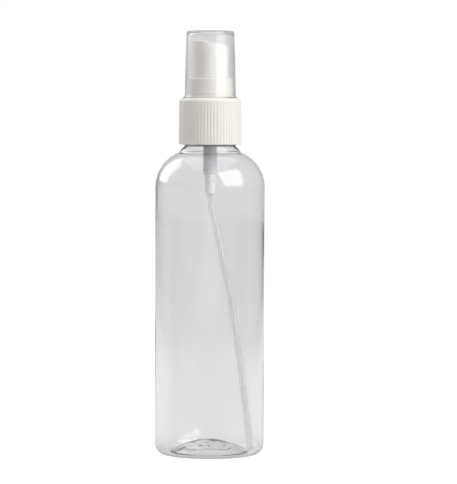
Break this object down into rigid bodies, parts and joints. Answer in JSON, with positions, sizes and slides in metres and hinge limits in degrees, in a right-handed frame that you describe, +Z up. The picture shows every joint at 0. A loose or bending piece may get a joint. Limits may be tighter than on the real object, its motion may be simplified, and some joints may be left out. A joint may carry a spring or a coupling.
{
  "type": "spray bottle",
  "caption": "Round clear bottle with a ribbed screw collar, a finger-pump mist sprayer, a curved dip tube and a clear push-on overcap.",
  "frame": {"origin": "centre of the bottle's foot, on the surface it stands on", "axes": "+Z up the bottle's axis; the nozzle sprays towards -X; the dip tube's foot lies at +X, turned 20.6 degrees towards -Y"},
  "size_m": [0.0486, 0.0486, 0.1881],
  "materials": {
    "bottle_pet": "clear polished PET",
    "overcap_clear": "clear polished plastic",
    "white_pp": "white satin polypropylene",
    "natural_pp": "unpigmented milky polypropylene",
    "tube_pe": "unpigmented milky polyethylene",
    "piston_pe": "soft unpigmented polyethylene",
    "gasket_foam": "white foamed polyethylene",
    "insert_pom": "white acetal",
    "steel": "bright stainless wire and ball"
  },
  "bodies": {
    "bottle": {"bottle": "bottle_pet"},
    "pump": {"pump_housing": "natural_pp", "turret": "white_pp", "neck_gasket": "gasket_foam", "dip_tube": "tube_pe", "return_spring": "steel"},
    "collar": {"screw_collar": "white_pp"},
    "stem": {"stem": "white_pp", "poppet": "natural_pp"},
    "button": {"actuator": "white_pp", "nozzle_insert": "insert_pom"},
    "piston": {"piston": "piston_pe"},
    "ball": {"check_ball": "steel"},
    "overcap": {"overcap": "overcap_clear"}
  },
  "joints": [
    {"name": "pump_rise", "type": "slide", "parent": "bottle", "child": "pump", "axis": [0, 0, 1], "range_m": [0, 0.00477]},
    {"name": "collar_turn", "type": "hinge", "parent": "pump", "child": "collar", "pos_m": [0, 0, 0.148], "axis": [0, 0, 1], "range_deg": [0, 540]},
    {"name": "actuator_press", "type": "slide", "parent": "pump", "child": "stem", "axis": [0, 0, -1], "range_m": [0, 0.0055], "stiffness_N_per_m": 1300, "deforming": ["return_spring"]},
    {"name": "nozzle_aim", "type": "hinge", "parent": "stem", "child": "button", "pos_m": [0, 0, 0.17], "axis": [0, 0, 1], "continuous": true},
    {"name": "piston_slide", "type": "slide", "parent": "pump", "child": "piston", "axis": [0, 0, -1], "range_m": [0, 0.00471]},
    {"name": "ball_lift", "type": "slide", "parent": "pump", "child": "ball", "axis": [0, 0, 1], "range_m": [0, 0.0006]},
    {"name": "overcap_lift", "type": "slide", "parent": "pump", "child": "overcap", "axis": [0, 0, 1], "range_m": [0, 0.04]}
  ],
  "couplings": [
    {"joint": "pump_rise", "follows": "collar_turn", "m_per_rad": 0.00050532},
    {"joint": "piston_slide", "follows": "actuator_press", "ratio": 0.85454}
  ]
}
